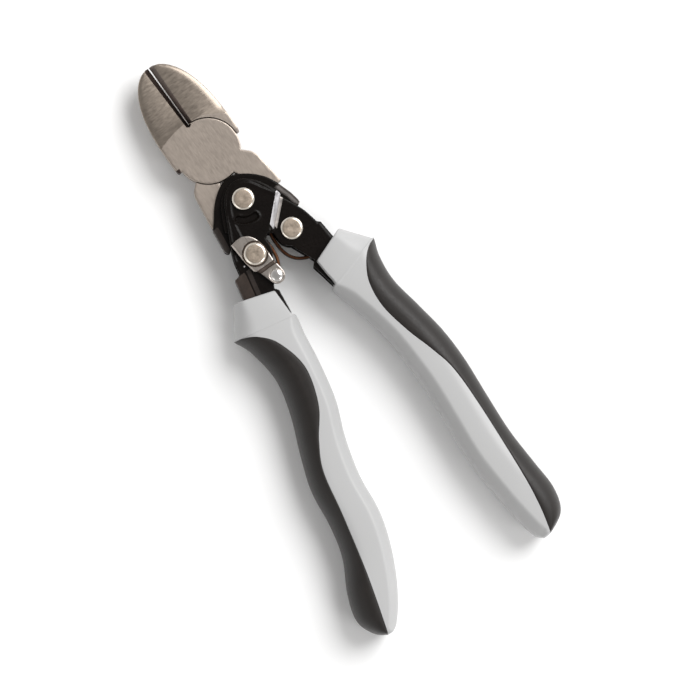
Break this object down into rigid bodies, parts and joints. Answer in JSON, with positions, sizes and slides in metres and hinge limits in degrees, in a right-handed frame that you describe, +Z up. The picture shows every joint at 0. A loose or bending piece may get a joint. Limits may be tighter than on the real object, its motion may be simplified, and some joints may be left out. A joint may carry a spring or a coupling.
{
  "type": "compound-leverage diagonal cutters",
  "caption": "Hand cutter with two ground jaws driven by a compound lever linkage, a thumb latch, leaf springs and two-tone grips.",
  "frame": {"origin": "centre of the tool's footprint, on the plane that its grips rest on", "axes": "+X along the tool towards the jaw tips, +Y towards the handle that carries the latch, +Z up out of the front face"},
  "size_m": [0.204, 0.0804, 0.0185],
  "materials": {
    "ground_steel": "ground and brushed, slightly warm",
    "black_sheet": "gloss black oxide over pressed sheet, worn bright on edges",
    "nickel": "dull nickel plate, lightly brushed",
    "plain_steel": "machined",
    "spring_steel": "tempered brown",
    "gray_shell": "satin light gray",
    "black_pad": "matt soft black, fine grain"
  },
  "bodies": {
    "link_housing": {"front_link_cover": "black_sheet", "back_link_cover": "black_sheet", "fulcrum_rivet": "nickel", "fulcrum_spacer": "plain_steel"},
    "left_handle": {"left_handle_frame": "black_sheet", "left_tail_rivet": "nickel", "left_tail_washers": "plain_steel", "latch_wave_washer": "spring_steel", "left_spring": "spring_steel", "left_spring_rivet": "plain_steel", "left_grip_shell": "gray_shell", "left_grip_pad": "black_pad"},
    "right_handle": {"right_handle_frame": "black_sheet", "right_tail_rivet": "nickel", "right_tail_washers": "plain_steel", "right_spring": "spring_steel", "right_spring_rivet": "plain_steel", "right_grip_shell": "gray_shell", "right_grip_pad": "black_pad"},
    "left_jaw_body": {"left_jaw": "ground_steel", "jaw_pivot_pin": "ground_steel"},
    "right_jaw_body": {"right_jaw": "ground_steel"},
    "latch": {"latch_lever": "nickel"}
  },
  "joints": [
    {"name": "left_handle_hinge", "type": "hinge", "parent": "link_housing", "child": "left_handle", "pos_m": [0.04785, -0.01082, 0.0088], "axis": [0, 0, 1], "range_deg": [-10, 0.6]},
    {"name": "right_handle_hinge", "type": "hinge", "parent": "link_housing", "child": "right_handle", "pos_m": [0.04785, -0.01082, 0.0088], "axis": [0, 0, 1], "range_deg": [-0.6, 10]},
    {"name": "right_jaw_hinge", "type": "hinge", "parent": "left_handle", "child": "right_jaw_body", "pos_m": [0.03065, -0.00332, 0.0088], "axis": [0, 0, 1], "range_deg": [-0.35, 5.6]},
    {"name": "left_jaw_hinge", "type": "hinge", "parent": "right_handle", "child": "left_jaw_body", "pos_m": [0.03065, -0.01832, 0.0088], "axis": [0, 0, 1], "range_deg": [-5.6, 0.35]},
    {"name": "latch_hinge", "type": "hinge", "parent": "left_handle", "child": "latch", "pos_m": [0.03065, -0.00332, 0.0088], "axis": [0, 0, 1], "range_deg": [0, 80]}
  ],
  "couplings": [
    {"joint": "right_handle_hinge", "follows": "left_handle_hinge", "ratio": -1},
    {"joint": "right_jaw_hinge", "follows": "left_handle_hinge", "ratio": -0.551},
    {"joint": "left_jaw_hinge", "follows": "left_handle_hinge", "ratio": 0.551}
  ]
}
